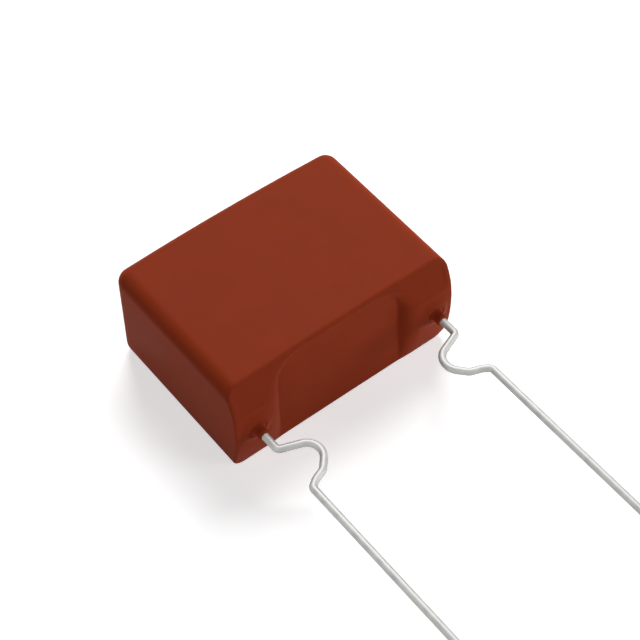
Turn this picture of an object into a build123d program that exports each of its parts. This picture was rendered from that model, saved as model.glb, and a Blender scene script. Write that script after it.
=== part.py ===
from build123d import *
from math import radians, sqrt, tan
import os

# A dipped film capacitor with crimped leads, lying on its large face.
# X runs along the lead pitch, the leads point to -Y, and Z is the thickness.
# The origin is the centre of the underside of the body.

# Resin body
body_length = 27.3
body_height = 19.0
body_thickness = 12.4
edge_radius = 1.5
back_crown = 0.3

# Lead feet, measured from the lead edge of the top face
panel_reach = 1.48
panel_drop = 3.7
panel_bulge = 0.14
foot_reach = 1.64
toe_reach = 0.67
foot_edge_radius = 0.22

# Recess between the feet
foot_inner_reach = 3.05
recess_wall_run = 2.4
recess_wall_swell = 1.6
recess_lean = 0.61
recess_corner_pull = 0.9
recess_corner_drop = 3.0

# Leads
lead_inset = 2.4
wire_diameter = 0.8
lead_reach = 34.0
bend_radius = 0.5
crimp_start = 4.98
crimp_length = 5.47
crimp_depth = 3.3
weld_overlap = 9.5
wire_end_chamfer = 0.1

# Resin that climbs each lead
meniscus_radius = 0.8
neck_radius = 0.72
neck_land = 0.03
bead_radius = 0.78
bead_tip = 0.2

# Wound film and its sprayed ends
coat_wall = 1.2
coat_back_wall = 1.5
coat_front_wall = 1.7
winding_corner_radius = 3.0
spray_thickness = 0.6
wire_sink = 0.2

# Places worked out from the sizes above
half_length = body_length / 2
lead_edge = -body_height / 2
back_face = body_height / 2
middle = body_thickness / 2
wire_radius = wire_diameter / 2
lead_pitch = body_length - 2 * lead_inset
lead_x = lead_pitch / 2
recess_half_width = lead_x - foot_inner_reach
spray_face = lead_x - wire_radius + wire_sink
winding_half_width = spray_face - spray_thickness
winding_height = body_height - coat_front_wall - coat_back_wall
winding_thickness = body_thickness - 2 * coat_wall
winding_middle = lead_edge + coat_front_wall + winding_height / 2

os.makedirs("parts", exist_ok=True)


def crimp_arc(before, corner, after, share):
    """Radius of an arc that takes up a share of the shorter run beside a corner."""
    run_in = Vector(*corner) - Vector(*before)
    run_out = Vector(*after) - Vector(*corner)
    half_turn = run_in.get_angle(run_out) / 2
    return share * min(run_in.length, run_out.length) / tan(radians(half_turn))


# Wound film, one pressed roll
with BuildPart() as film_winding:
    with BuildSketch(Plane.YZ.offset(-winding_half_width)):
        with Locations((winding_middle, middle)):
            RectangleRounded(winding_height, winding_thickness, winding_corner_radius)
    extrude(amount=2 * winding_half_width)
film_winding.part.label = "film_winding"
export_step(film_winding.part, "parts/film_winding.step")

# Right lead: one wire from its weld, out of the foot, through the crimp to the cut end
crimp_stations = [(0, 0), (0.229, 1), (0.556, 1), (0.819, 0.61), (0.901, 0.23), (1, 0)]
crimp_shares = [0.62, 0.34, 0.24, 0.27]
crimp_corners = [
    (lead_x - crimp_depth * depth, lead_edge - crimp_start - crimp_length * along)
    for along, depth in crimp_stations
]
crimp_radii = [
    crimp_arc(*crimp_corners[k:k + 3], share) for k, share in enumerate(crimp_shares)
]
weld_end = (lead_x, lead_edge + weld_overlap)
cut_end = (lead_x, lead_edge - lead_reach)

with BuildPart() as lead_right:
    with BuildLine(Plane.XY.offset(middle)) as wire_path:
        FilletPolyline(weld_end, *crimp_corners, cut_end, radius=[bend_radius, *crimp_radii, bend_radius])
    with BuildSketch(Plane(origin=(*weld_end, middle), z_dir=(0, -1, 0))):
        Circle(wire_radius)
    sweep(path=wire_path.wires()[0])
    chamfer(faces().sort_by(Axis.Y)[0].edges(), length=wire_end_chamfer)
lead_right.part.label = "lead_right"

# Sprayed metal on the right end of the roll, with the wire sunk in its face
with BuildPart() as end_spray_right:
    with BuildSketch(Plane.YZ.offset(winding_half_width)):
        with Locations((winding_middle, middle)):
            RectangleRounded(winding_height, winding_thickness, winding_corner_radius)
    extrude(amount=spray_thickness)
    add(lead_right.part, mode=Mode.SUBTRACT)
end_spray_right.part.label = "end_spray_right"

with BuildPart() as lead_left:
    mirror(lead_right.part, about=Plane.YZ)
lead_left.part.label = "lead_left"

with BuildPart() as end_spray_left:
    mirror(end_spray_right.part, about=Plane.YZ)
end_spray_left.part.label = "end_spray_left"

for piece in (lead_right, lead_left, end_spray_right, end_spray_left):
    export_step(piece.part, f"parts/{piece.part.label}.step")

# Neck tool: a short collar of resin round the right wire that swells into a round bead
neck_y = lead_edge - foot_reach - meniscus_radius - neck_land
bead_y = neck_y - sqrt(bead_radius**2 - neck_radius**2)
tip_y = bead_y - bead_tip
tip_radius = sqrt(bead_radius**2 - bead_tip**2)
with BuildPart() as neck_tool:
    with BuildSketch(Plane.YZ.offset(lead_x)):
        with BuildLine():
            Polyline(
                (tip_y, middle + tip_radius),
                (tip_y, middle),
                (lead_edge, middle),
                (lead_edge, middle + neck_radius),
                (neck_y, middle + neck_radius),
            )
            ThreePointArc(
                (neck_y, middle + neck_radius), (bead_y, middle + bead_radius), (tip_y, middle + tip_radius)
            )
        make_face()
    revolve(axis=Axis((lead_x, 0, middle), (0, 1, 0)))


def foot_front(drop):
    """Reach of a foot at a drop below the top face: a barely convex panel, then a belly down to the toe."""
    if drop < panel_drop:
        along = drop / panel_drop
        return panel_reach * along + 4 * panel_bulge * along * (1 - along)
    far_drop, far_reach = (panel_drop, panel_reach) if drop < middle else (body_thickness, toe_reach)
    return foot_reach - (foot_reach - far_reach) * ((drop - middle) / (far_drop - middle)) ** 2


def wall_middle(drop):
    """Half width of the recess at the middle of its walls, which close in towards the top."""
    return recess_half_width - recess_corner_pull * max(0, 1 - drop / recess_corner_drop) ** 2


# Heights at which the lead face is drawn, close together where the panel turns into the belly
belly_drop = body_thickness - panel_drop
face_drops = [share * panel_drop for share in (0, 0.45, 0.9)]
face_drops += [panel_drop + share * belly_drop for share in (0.1, 0.4, 0.7, 1)]

# Resin coat, dipped over everything but the wires
with BuildPart() as resin_coat:
    # Plan sections, each with two feet and the soft S-shaped walls of the recess between them
    side = half_length + edge_radius
    tail = back_face + edge_radius
    for drop in face_drops:
        front = lead_edge - foot_front(drop)
        floor = lead_edge - recess_lean * drop / body_thickness
        brow = wall_middle(drop) + recess_wall_run / 2
        root = wall_middle(drop) - recess_wall_run / 2
        with BuildSketch(Plane.XY.offset(body_thickness - drop)):
            with BuildLine():
                Polyline((side, front), (side, tail), (-side, tail), (-side, front))
                Line((-side, front), (-brow, front))
                Line((brow, front), (side, front))
                for start, end in (((-brow, front), (-root, floor)), ((root, floor), (brow, front))):
                    Spline(start, end, tangents=[(1, 0), (1, 0)], tangent_scalars=[recess_wall_swell] * 2)
                Line((-root, floor), (root, floor))
            make_face()
    loft()
    # Plan outline with its crowned back
    shoulder = back_face - back_crown
    snout = lead_edge - 2 * foot_reach
    with BuildSketch():
        with BuildLine():
            Polyline(
                (half_length, shoulder), (half_length, snout), (-half_length, snout), (-half_length, shoulder)
            )
            ThreePointArc((-half_length, shoulder), (0, back_face), (half_length, shoulder))
        make_face()
    extrude(amount=body_thickness, mode=Mode.INTERSECT)
    # Soft edges on the sides and back
    side_faces = faces().filter_by(Axis.X)
    soft_edges = side_faces.edges().filter_by(Axis.Y) + edges().group_by(Axis.Y)[-1]
    soft_edges += side_faces.edges().filter_by(Axis.Z)
    fillet(soft_edges, radius=edge_radius)
    # Crisper rim all round the lead face, on the edges that only one face of it has
    lead_faces = faces().filter_by(lambda face: face.normal_at().Y < -0.3)
    rim = [edge for edge in lead_faces.edges() if sum(edge in face.edges() for face in lead_faces) == 1]
    fillet(rim, radius=foot_edge_radius)
    # Necks on both feet, each blended into its foot by a meniscus
    add([neck_tool.part, mirror(neck_tool.part, about=Plane.YZ, mode=Mode.PRIVATE)])
    fillet(edges(Select.NEW), radius=meniscus_radius)
    for piece in (film_winding, end_spray_left, end_spray_right, lead_left, lead_right):
        add(piece.part, mode=Mode.SUBTRACT)
resin_coat.part.label = "resin_coat"
export_step(resin_coat.part, "parts/resin_coat.step")
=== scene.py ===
# %% [markdown]
# # A dipped film capacitor
#
# The object is a block of wound film in a coat of brick-red resin, with two tinned wires that
# leave the swollen feet of the coat and are crimped so that the body stands off a circuit board.
# It lies on its large face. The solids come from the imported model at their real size, in metres.
# This lesson draws a finer skin for the coat, gives every piece its finish, and then adds a floor,
# lights and a camera.

# %% Load the frame
from math import copysign, cos, hypot, radians, sin, sqrt

import bpy
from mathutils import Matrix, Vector


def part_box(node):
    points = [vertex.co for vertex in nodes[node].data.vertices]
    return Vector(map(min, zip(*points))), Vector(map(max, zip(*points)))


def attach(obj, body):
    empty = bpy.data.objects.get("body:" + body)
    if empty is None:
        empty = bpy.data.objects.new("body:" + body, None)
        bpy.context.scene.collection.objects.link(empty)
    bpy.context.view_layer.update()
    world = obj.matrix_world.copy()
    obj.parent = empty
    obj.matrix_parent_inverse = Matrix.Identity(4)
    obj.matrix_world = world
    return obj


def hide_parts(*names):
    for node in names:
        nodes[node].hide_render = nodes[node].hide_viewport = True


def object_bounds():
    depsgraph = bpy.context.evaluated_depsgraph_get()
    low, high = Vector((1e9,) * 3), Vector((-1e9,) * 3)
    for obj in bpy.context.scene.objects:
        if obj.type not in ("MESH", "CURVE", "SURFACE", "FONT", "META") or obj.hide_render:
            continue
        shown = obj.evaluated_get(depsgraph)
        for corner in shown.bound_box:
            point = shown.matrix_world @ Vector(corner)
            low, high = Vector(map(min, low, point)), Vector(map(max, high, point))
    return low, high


MM = 0.001
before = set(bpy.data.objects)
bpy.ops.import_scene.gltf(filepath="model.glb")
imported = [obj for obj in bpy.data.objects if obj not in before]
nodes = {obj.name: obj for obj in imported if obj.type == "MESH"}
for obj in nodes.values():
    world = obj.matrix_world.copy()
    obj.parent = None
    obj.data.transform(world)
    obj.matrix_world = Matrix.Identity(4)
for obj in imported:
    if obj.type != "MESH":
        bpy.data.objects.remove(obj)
cad_low, cad_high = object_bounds()
bpy.ops.object.select_all(action="DESELECT")
print("CAD box in mm:", [round(v / MM, 2) for v in (*cad_low, *cad_high)])

# %% [markdown]
# ## Helpers for node materials
#
# Every finish here is a Principled shader fed by a few nodes that read Object coordinates, so a
# pattern stays fixed to the piece when the camera moves. The nodes could be placed by hand in the
# shader editor. In a script, a few small helpers keep that short: they feed an input, place a
# node, start a material and put it on a piece.

# %% Place and feed nodes
def feed(tree, socket, value):
    """Link another node's output to an input, or write anything else as the input's value."""
    if isinstance(value, bpy.types.NodeSocket):
        tree.links.new(value, socket)
    else:
        socket.default_value = value


def set_inputs(tree, node, **inputs):
    """Feed a node's inputs by name, with _ for a space."""
    for name, value in inputs.items():
        feed(tree, node.inputs[name.replace("_", " ")], value)


def add_node(tree, kind, **inputs):
    """Place a node and feed its inputs by name."""
    node = tree.nodes.new(kind)
    set_inputs(tree, node, **inputs)
    return node


def add_math(tree, operation, first, second):
    """Work out one value from two."""
    node = tree.nodes.new("ShaderNodeMath")
    node.operation = operation
    feed(tree, node.inputs[0], first)
    feed(tree, node.inputs[1], second)
    return node.outputs[0]


print("nodes of the frame:", sorted(nodes))

# %% Start a material and put it on a piece
def new_finish(name):
    """A material with a bare Principled shader, and the Object coordinates of the piece."""
    material = bpy.data.materials.new(name)
    material.use_nodes = True
    tree = material.node_tree
    shader = tree.nodes["Principled BSDF"]
    place = tree.nodes.new("ShaderNodeTexCoord").outputs["Object"]
    return material, tree, shader, place


def give_finish(piece, material):
    """Put one material on a piece in place of the one that it came with."""
    piece.data.materials.clear()
    piece.data.materials.append(material)
    print(piece.name, "wears", material.name)


print("materials that the frame brings:", len(bpy.data.materials))

# %% [markdown]
# ## Unevenness, shared by all the finishes
#
# No real surface is the same all over: resin flows, tin freezes in soft waves, sprayed metal is
# grainy. One node group makes that unevenness at two scales. Each material places it with its own
# scales, and uses its Tone output for colour and roughness and its Height output for a bump.

# %% Build the unevenness group
BROAD_DETAIL = 2.0
FINE_DETAIL = 3.0


def build_unevenness():
    """Two noises over the same place: the broad one is the tone, both together are the height."""
    group = bpy.data.node_groups.new("surface_unevenness", "ShaderNodeTree")
    for name, kind, value in (
        ("Place", "NodeSocketVector", None),
        ("Broad Scale", "NodeSocketFloat", 100.0),
        ("Fine Scale", "NodeSocketFloat", 1000.0),
        ("Fine Share", "NodeSocketFloat", 0.5),
    ):
        socket = group.interface.new_socket(name, in_out="INPUT", socket_type=kind)
        if value is not None:
            socket.default_value = value
    group.interface.new_socket("Tone", in_out="OUTPUT", socket_type="NodeSocketFloat")
    group.interface.new_socket("Height", in_out="OUTPUT", socket_type="NodeSocketFloat")
    given = group.nodes.new("NodeGroupInput").outputs
    broad, fine = (
        add_node(
            group, "ShaderNodeTexNoise",
            Vector=given["Place"], Scale=given[scale], Detail=detail,
        ).outputs[0]
        for scale, detail in (("Broad Scale", BROAD_DETAIL), ("Fine Scale", FINE_DETAIL))
    )
    blend = add_node(group, "ShaderNodeMix", Factor=given["Fine Share"], A=broad, B=fine)
    add_node(group, "NodeGroupOutput", Tone=broad, Height=blend.outputs[0])
    return group


unevenness = build_unevenness()
print("group", unevenness.name, "has", len(unevenness.nodes), "nodes")

# %% [markdown]
# ## From a tone to a colour or a shine
#
# A noise mostly stays between 0.3 and 0.7. The two helpers below spread that span, one between two
# colours and one between two values.

# %% Place the group and spread its tone
TONE_LOW, TONE_HIGH = 0.3, 0.7


def add_unevenness(tree, place, broad_scale, fine_scale, fine_share):
    """Place the group in a material. The scales are features per metre."""
    node = tree.nodes.new("ShaderNodeGroup")
    node.node_tree = unevenness
    set_inputs(
        tree, node,
        Place=place, Broad_Scale=broad_scale, Fine_Scale=fine_scale, Fine_Share=fine_share,
    )
    return node.outputs["Tone"], node.outputs["Height"]


def add_tint(tree, tone, dark, light):
    """Two colours mixed by a tone from 0 to 1."""
    ramp = add_node(tree, "ShaderNodeValToRGB", Fac=tone)
    first, last = ramp.color_ramp.elements
    first.position, last.position = TONE_LOW, TONE_HIGH
    first.color, last.color = (*dark, 1), (*light, 1)
    return ramp.outputs["Color"]


def add_range(tree, tone, low, high, tone_low=TONE_LOW, tone_high=TONE_HIGH):
    """A tone spread between two values."""
    spread = add_node(
        tree, "ShaderNodeMapRange",
        Value=tone, From_Min=tone_low, From_Max=tone_high, To_Min=low, To_Max=high,
    )
    return spread.outputs["Result"]


print("tones from", TONE_LOW, "to", TONE_HIGH, "are spread")

# %% [markdown]
# ## The skin of the coat
#
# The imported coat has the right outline, but the resin of a real one flows into finer forms on the
# lead face: the recess has round upper corners with a clear brow line, each foot has a flat panel
# above its belly, and each wire leaves from a small dimple. A subdivided cage could give them, but
# it would have to be fitted to the outline all round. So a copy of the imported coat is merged, its
# hidden inside is taken out, and an even mesh is drawn over it. Then only the lead face is drawn
# anew, as a reach from the lead edge at each width and drop. All sizes here are in millimetres.

# %% Copy the coat and merge it
MERGE_DISTANCE = 0.001
skin = bpy.data.objects.new("dipped_coat", nodes["resin_coat"].data.copy())
bpy.context.collection.objects.link(skin)
skin.select_set(True)
bpy.context.view_layer.objects.active = skin
bpy.ops.object.mode_set(mode="EDIT")
bpy.ops.mesh.select_all(action="SELECT")
bpy.ops.mesh.remove_doubles(threshold=MERGE_DISTANCE * MM)
bpy.ops.mesh.select_mode(type="VERT")
bpy.ops.mesh.select_all(action="DESELECT")
bpy.ops.object.mode_set(mode="OBJECT")
print("merged coat:", len(skin.data.vertices), "points")

# %% [markdown]
# The cavity for the winding and the holes for the wires would be covered by the even mesh too,
# where nobody sees them. Their walls are picked by place and deleted, and the two rings that are
# left at the tips of the necks are filled.

# %% Take out the inside
MIDDLE = 6.2
LEAD_X = 11.25
INSIDE_LOW = (-11.7, -7.9, 1.1)
INSIDE_HIGH = (11.7, 8.1, 11.3)
HOLE_RADIUS = 0.42


def is_hidden(x, y, z):
    """Whether a point lies on the walls of the cavity or of a wire's hole."""
    in_cavity = all(low < v < high for v, low, high in zip((x, y, z), INSIDE_LOW, INSIDE_HIGH))
    return in_cavity or hypot(abs(x) - LEAD_X, z - MIDDLE) < HOLE_RADIUS


for vertex in skin.data.vertices:
    vertex.select = is_hidden(*(vertex.co / MM))
bpy.ops.object.mode_set(mode="EDIT")
bpy.ops.mesh.select_mode(type="FACE")
bpy.ops.mesh.delete(type="FACE")
bpy.ops.mesh.select_all(action="SELECT")
bpy.ops.mesh.fill_holes(sides=0)
bpy.ops.mesh.normals_make_consistent(inside=False)
bpy.ops.object.mode_set(mode="OBJECT")
print("outer shell:", len(skin.data.polygons), "faces")

# %% [markdown]
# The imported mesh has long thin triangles, which would crease when they are moved. A voxel remesh
# gives small even faces, but rounds the form a little, so each new point is then laid back on the
# form that the skin had.

# %% Draw an even mesh over it
FACE_SIZE = 0.17


def even_out():
    """Draw a mesh of small even faces over the skin and lay it on the form that the skin had."""
    form = bpy.data.objects.new("skin_form", skin.data.copy())
    bpy.context.collection.objects.link(form)
    even = skin.modifiers.new("even_mesh", "REMESH")
    even.mode = "VOXEL"
    even.voxel_size = FACE_SIZE * MM
    bpy.ops.object.modifier_apply(modifier=even.name)
    cling = skin.modifiers.new("cling", "SHRINKWRAP")
    cling.target = form
    bpy.ops.object.modifier_apply(modifier=cling.name)
    bpy.data.objects.remove(form)
    print("even mesh:", len(skin.data.polygons), "faces")


even_out()

# %% [markdown]
# ## The lead face
#
# Seen from the side, a foot is a flat panel that runs down and out from the top, and then a belly
# that comes back in to the toe. Its reach from the lead edge depends only on the drop below the
# top.

# %% Profile of a foot
THICKNESS = 12.4
PANEL_REACH, PANEL_DROP, PANEL_BULGE = 1.48, 3.7, 0.02
FOOT_REACH, TOE_REACH = 1.64, 0.67


def foot_front(drop):
    """Reach of a foot at a drop below the top: a flat panel, then a belly down to the toe."""
    if drop < PANEL_DROP:
        along = drop / PANEL_DROP
        return PANEL_REACH * along + 4 * PANEL_BULGE * along * (1 - along)
    far_drop, far_reach = (PANEL_DROP, PANEL_REACH) if drop < MIDDLE else (THICKNESS, TOE_REACH)
    return FOOT_REACH - (FOOT_REACH - far_reach) * ((drop - MIDDLE) / (far_drop - MIDDLE)) ** 2


print("a foot reaches", [round(foot_front(drop), 2) for drop in (0, PANEL_DROP, MIDDLE, THICKNESS)])

# %% [markdown]
# The recess lies between two arches with round upper corners. Outside the brow arch the face
# belongs to a foot, inside the root arch it is the floor of the recess, and the wall between them
# turns away softly and meets the floor steeply.

# %% The recess between the feet
FLOOR_LEAN = 0.61
# Each arch: half width of its flat top, half width and height of its round corner
BROW = (4.7, 4.7, 3.58)
ROOT = (4.7, 2.95, 3.02)
WALL_TURN = 0.88
BROW_CREASE = 0.36


def wall_turn(value):
    """A wall that starts with a light crease at its brow and meets the floor steeply."""
    round_part = (1 - sqrt(1 - (WALL_TURN * value) ** 2)) / (1 - sqrt(1 - WALL_TURN**2))
    return BROW_CREASE * value + (1 - BROW_CREASE) * round_part


def arch(width, drop, centre, half_width, height):
    """How far out a point lies on an arch with round upper corners: 1 is on its line."""
    return hypot(max(0, width - centre) / half_width, max(0, PANEL_DROP - drop) / height)


def face_reach(width, drop):
    """Reach of the lead face: the recess inside the root line, a foot outside the brow line."""
    foot = foot_front(drop)
    floor_reach = FLOOR_LEAN * drop / THICKNESS
    inside_brow = 1 - arch(width, drop, *BROW)
    outside_root = arch(width, drop, *ROOT) - 1
    if inside_brow <= 0:
        return foot
    if outside_root <= 0:
        return floor_reach
    return foot + (floor_reach - foot) * wall_turn(inside_brow / (inside_brow + outside_root))


print("the recess is", round(foot_front(MIDDLE) - face_reach(0, MIDDLE), 2), "deep at the middle")

# %% [markdown]
# Round each wire the resin swells a little, and the neck that climbs the wire stands in a dimple
# of that swelling.

# %% The seats of the necks
SWELL_RADIUS, SWELL_HEIGHT = 2.2, 0.6
DIMPLE_RADIUS, DIMPLE_SPREAD, DIMPLE_DEPTH = 0.78, 0.45, 0.3


def neck_seat(distance):
    """Height of the swelling round a wire, less the dimple in which its neck of resin stands."""
    swell = max(0, 1 - (distance / SWELL_RADIUS) ** 2) ** 2
    dimple = max(0, 1 - ((distance - DIMPLE_RADIUS) / DIMPLE_SPREAD) ** 2) ** 2
    return SWELL_HEIGHT * swell - DIMPLE_DEPTH * dimple


print("the dimple's floor stands", round(neck_seat(DIMPLE_RADIUS), 2), "above the foot")

# %% [markdown]
# Every point on the lead face now moves to its reach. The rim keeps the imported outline, so the
# move fades out towards it. The necks keep their length and only become slimmer.

# %% Draw the lead face
LEAD_EDGE = -9.5
FACE_MARGIN = 0.05
RIM_SIDE, RIM_TOP, RIM_SOFT = 13.1, 0.3, 0.35
NECK_RADIUS, NECK_RISE, NECK_WAIST = 0.8, 0.4, 0.8


def ease(value):
    """A value from 0 to 1 that starts and ends softly."""
    value = min(1, max(0, value))
    return value * value * (3 - 2 * value)


moved = 0
for vertex in skin.data.vertices:
    x, y, z = vertex.co / MM
    width, drop = abs(x), THICKNESS - z
    if y > LEAD_EDGE + FACE_MARGIN:
        continue
    distance = hypot(width - LEAD_X, z - MIDDLE)
    if distance < NECK_RADIUS and y < LEAD_EDGE - FOOT_REACH - NECK_RISE:
        wire_x = copysign(LEAD_X, x)
        vertex.co.x = (wire_x + (x - wire_x) * NECK_WAIST) * MM
        vertex.co.z = (MIDDLE + (z - MIDDLE) * NECK_WAIST) * MM
        continue
    share = ease((RIM_SIDE - width) / RIM_SOFT)
    share *= ease((drop - RIM_TOP) / RIM_SOFT) * ease((THICKNESS - RIM_TOP - drop) / RIM_SOFT)
    vertex.co.y += share * (LEAD_EDGE - face_reach(width, drop) - neck_seat(distance) - y) * MM
    moved += share > 0
even_out()
bpy.ops.object.shade_smooth()
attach(skin, "root")
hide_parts("resin_coat")
print("lead face drawn with", moved, "points")

# %% [markdown]
# ## The finish of the coat
#
# Powder resin melts onto the hot block and sets as one brick-red skin: smooth and nearly matt,
# with a faint orange peel. Its colour barely varies, so the two tints lie close together. A
# clearer gloss could be had with a lower roughness, but the real coat only glows softly where it
# turns to the light, so the roughness stays high and the specular level low.

# %% Resin finish
RESIN_DARK = (0.274, 0.0355, 0.0105)
RESIN_LIGHT = (0.294, 0.0385, 0.0120)
RESIN_ROUGHNESS = (0.52, 0.58)
RESIN_SPECULAR = 0.03
PEEL_DEPTH = 0.03 * MM
resin, tree, shader, place = new_finish("dipped_resin")
tone, height = add_unevenness(tree, place, broad_scale=260, fine_scale=2600, fine_share=0.35)
peel = add_node(tree, "ShaderNodeBump", Strength=0.12, Distance=PEEL_DEPTH, Height=height)
set_inputs(
    tree, shader,
    Base_Color=add_tint(tree, tone, RESIN_DARK, RESIN_LIGHT),
    Roughness=add_range(tree, tone, *RESIN_ROUGHNESS),
    Specular_IOR_Level=RESIN_SPECULAR,
    Normal=peel.outputs["Normal"],
)
give_finish(skin, resin)

# %% [markdown]
# ## The leads
#
# The wires are copper with a hot-dipped coat of tin: a light grey, dull metal without sharp
# highlights, so the roughness is high. The wire is cut across at its end, and there the copper
# shows. A second material on the end face would do, but the nodes of the frame keep their meshes
# as they are. So the tin's colour gives way to copper past the last hundredth of a millimetre
# before the cut.

# %% Tinned wire finish
TIN_DARK = (0.35, 0.35, 0.34)
TIN_LIGHT = (0.45, 0.45, 0.44)
TIN_ROUGHNESS = (0.56, 0.66)
RIPPLE_DEPTH = 0.02 * MM
wire, tree, shader, place = new_finish("tinned_wire")
tone, height = add_unevenness(tree, place, broad_scale=900, fine_scale=5200, fine_share=0.4)
tin = add_tint(tree, tone, TIN_DARK, TIN_LIGHT)
ripple = add_node(tree, "ShaderNodeBump", Strength=0.15, Distance=RIPPLE_DEPTH, Height=height)
set_inputs(
    tree, shader,
    Metallic=1.0,
    Roughness=add_range(tree, tone, *TIN_ROUGHNESS),
    Normal=ripple.outputs["Normal"],
)
for side in ("left", "right"):
    give_finish(nodes[f"lead_{side}"], wire)

# %% Copper at the cut
COPPER = (0.72, 0.36, 0.22)
CUT_DEPTH = 0.01 * MM
# The Mix node lists its colour sockets after those for plain values
MIX_A, MIX_B, MIX_RESULT = 6, 7, 2
cut_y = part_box("lead_right")[0].y
split = add_node(tree, "ShaderNodeSeparateXYZ", Vector=place)
past_cut = add_math(tree, "LESS_THAN", split.outputs["Y"], cut_y + CUT_DEPTH)
bare = add_node(tree, "ShaderNodeMix", Factor=past_cut)
bare.data_type = "RGBA"
feed(tree, bare.inputs[MIX_A], tin)
feed(tree, bare.inputs[MIX_B], (*COPPER, 1))
set_inputs(tree, shader, Base_Color=bare.outputs[MIX_RESULT])
print("copper from y =", round((cut_y + CUT_DEPTH) / MM, 2), "mm to the cut")

# %% [markdown]
# ## The hidden core
#
# Inside the coat lie the wound film and the metal sprayed on its two ends. They can't be seen
# here, but they are pieces of the part, so they get plain, true finishes too: fine bands for the
# turns of the film, and coarse grains for the sprayed metal.

# %% Film
FILM_DARK = (0.52, 0.52, 0.5)
FILM_LIGHT = (0.66, 0.66, 0.64)
film, tree, shader, place = new_finish("metallised_film")
turns = add_node(tree, "ShaderNodeTexWave", Vector=place, Scale=1600.0, Distortion=0.4)
turns.bands_direction = "Z"
bands = add_tint(tree, turns.outputs["Fac"], FILM_DARK, FILM_LIGHT)
set_inputs(tree, shader, Base_Color=bands, Metallic=0.6, Roughness=0.35)
give_finish(nodes["film_winding"], film)

# %% Sprayed metal
SPRAY_DARK = (0.36, 0.36, 0.37)
SPRAY_LIGHT = (0.52, 0.52, 0.53)
GRAIN_DEPTH = 0.05 * MM
spray, tree, shader, place = new_finish("sprayed_metal")
tone, height = add_unevenness(tree, place, broad_scale=1500, fine_scale=7000, fine_share=0.6)
grains = add_node(tree, "ShaderNodeBump", Strength=0.5, Distance=GRAIN_DEPTH, Height=height)
set_inputs(
    tree, shader,
    Base_Color=add_tint(tree, tone, SPRAY_DARK, SPRAY_LIGHT),
    Metallic=0.9,
    Roughness=0.65,
    Normal=grains.outputs["Normal"],
)
for side in ("left", "right"):
    give_finish(nodes[f"end_spray_{side}"], spray)

# %% [markdown]
# ## Floor
#
# The part lies on a white sheet that has no visible edge. The sheet is a wide plane just under the
# part's underside. For the camera and for reflections it is lifted to white, but the light that
# falls on it still counts, so a soft shadow stays. Past the reach of the lamps it is lifted more,
# so that it meets the white room without a grey band.

# %% Floor
FLOOR_SIZE = 2.0
FLOOR_GAP = 0.01 * MM
bpy.ops.mesh.primitive_plane_add(size=FLOOR_SIZE, location=(0, 0, cad_low[2] - FLOOR_GAP))
floor = bpy.context.object
floor.name = "floor"
bpy.ops.object.transform_apply(location=True, rotation=True, scale=True)
print("floor", FLOOR_SIZE, "m wide,", FLOOR_GAP / MM, "mm below the part")

# %% White sheet
FLOOR_COLOUR = (0.8, 0.8, 0.8, 1)
FLOOR_LIFT = 0.6
LIT_REACH = 0.15
WHITE_REACH = 0.45
WHITE = (1, 1, 1, 1)


def add_seen(tree):
    """1 for rays from the camera, off a mirror and through glass, and 0 for all other light."""
    path = tree.nodes.new("ShaderNodeLightPath").outputs
    seen = add_math(tree, "MAXIMUM", path["Is Camera Ray"], path["Is Glossy Ray"])
    return add_math(tree, "MAXIMUM", seen, path["Is Transmission Ray"])


sheet, tree, shader, place = new_finish("white_sheet")
away = add_node(tree, "ShaderNodeVectorMath", Vector=place)
away.operation = "LENGTH"
brighten = add_range(tree, away.outputs["Value"], FLOOR_LIFT, 1.0, LIT_REACH, WHITE_REACH)
set_inputs(
    tree, shader,
    Base_Color=FLOOR_COLOUR,
    Roughness=0.9,
    Specular_IOR_Level=0.0,
    Emission_Color=WHITE,
    Emission_Strength=add_math(tree, "MULTIPLY", add_seen(tree), brighten),
)
give_finish(floor, sheet)

# %% [markdown]
# ## World and lamps
#
# The light comes from three softboxes: a key behind the part that makes its top the brightest
# side, and two weaker ones that lift the left side and the lead face. One overhead box would be
# simpler, but then the left side and the lead face would come out too dark. The world adds almost
# no light of its own. It is white only for the camera and for reflections, so the wires mirror a
# white room.

# %% World
WORLD_FILL = 0.02
world = bpy.data.worlds.new("white_room")
bpy.context.scene.world = world
world.use_nodes = True
tree = world.node_tree
tree.nodes.clear()
fill = add_node(tree, "ShaderNodeBackground", Color=WHITE, Strength=WORLD_FILL)
white = add_node(tree, "ShaderNodeBackground", Color=WHITE, Strength=1.0)
either = add_node(tree, "ShaderNodeMixShader", Fac=add_seen(tree))
feed(tree, either.inputs[1], fill.outputs[0])
feed(tree, either.inputs[2], white.outputs[0])
add_node(tree, "ShaderNodeOutputWorld", Surface=either.outputs[0])
print("world", world.name, "fills with", WORLD_FILL)

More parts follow.
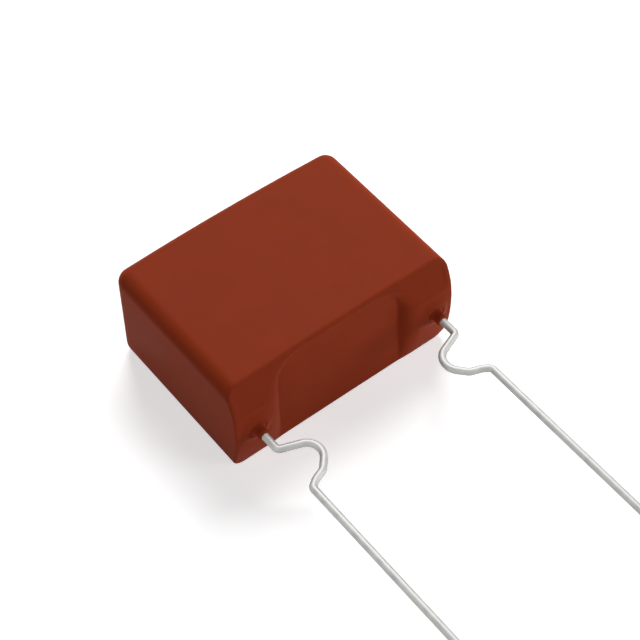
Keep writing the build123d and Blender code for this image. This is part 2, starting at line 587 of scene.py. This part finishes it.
# %% Softboxes
LAMP_DISTANCE = 0.4
LAMP_SIZE = 0.2
# Each lamp: azimuth and elevation in degrees, power in watts
LAMPS = {
    "back_key": (142, 50, 1.33),
    "left_fill": (-72, 22, 0.28),
    "right_fill": (40, 10, 0.8),
}


def direction(azimuth, elevation):
    """Unit vector towards a place at this azimuth (0 is the lead side) and elevation."""
    a = radians(azimuth)
    e = radians(elevation)
    return Vector((sin(a) * cos(e), -cos(a) * cos(e), sin(e)))


middle = Vector((0, (cad_low[1] + cad_high[1]) / 2, cad_high[2] / 2))
for name, (azimuth, elevation, power) in LAMPS.items():
    data = bpy.data.lights.new(name, "AREA")
    data.size = LAMP_SIZE
    data.energy = power
    lamp = bpy.data.objects.new(name, data)
    bpy.context.collection.objects.link(lamp)
    towards = direction(azimuth, elevation)
    lamp.location = middle + towards * LAMP_DISTANCE
    lamp.rotation_euler = towards.to_track_quat("Z", "Y").to_euler()
    print(name, "at", [round(v, 3) for v in lamp.location])

# %% [markdown]
# ## Camera
#
# The view looks down on the part from its left front. The place, the turn and the lens come from
# the straight edges of the body and the two parallel leads as they run in the picture.

# %% Camera
AIM = Vector((1.64, -4.66, 6.2)) * MM
VIEW_AZIMUTH = -37.83
VIEW_ELEVATION = 52.28
VIEW_ROLL = -0.44
VIEW_DISTANCE = 183.96 * MM
LENS = 102.48
SENSOR_WIDTH = 36
CLIP_START, CLIP_END = 0.005, 10
data = bpy.data.cameras.new("camera")
data.lens = LENS
data.sensor_width = SENSOR_WIDTH
data.clip_start = CLIP_START
data.clip_end = CLIP_END
camera = bpy.data.objects.new("camera", data)
bpy.context.collection.objects.link(camera)
towards = direction(VIEW_AZIMUTH, VIEW_ELEVATION)
camera.location = AIM + towards * VIEW_DISTANCE
camera.rotation_euler = towards.to_track_quat("Z", "Y").to_euler()
camera.rotation_euler.rotate_axis("Z", radians(VIEW_ROLL))
bpy.context.scene.camera = camera
bpy.context.scene.view_settings.view_transform = "Standard"
print("camera at", [round(v / MM, 2) for v in camera.location], "mm")
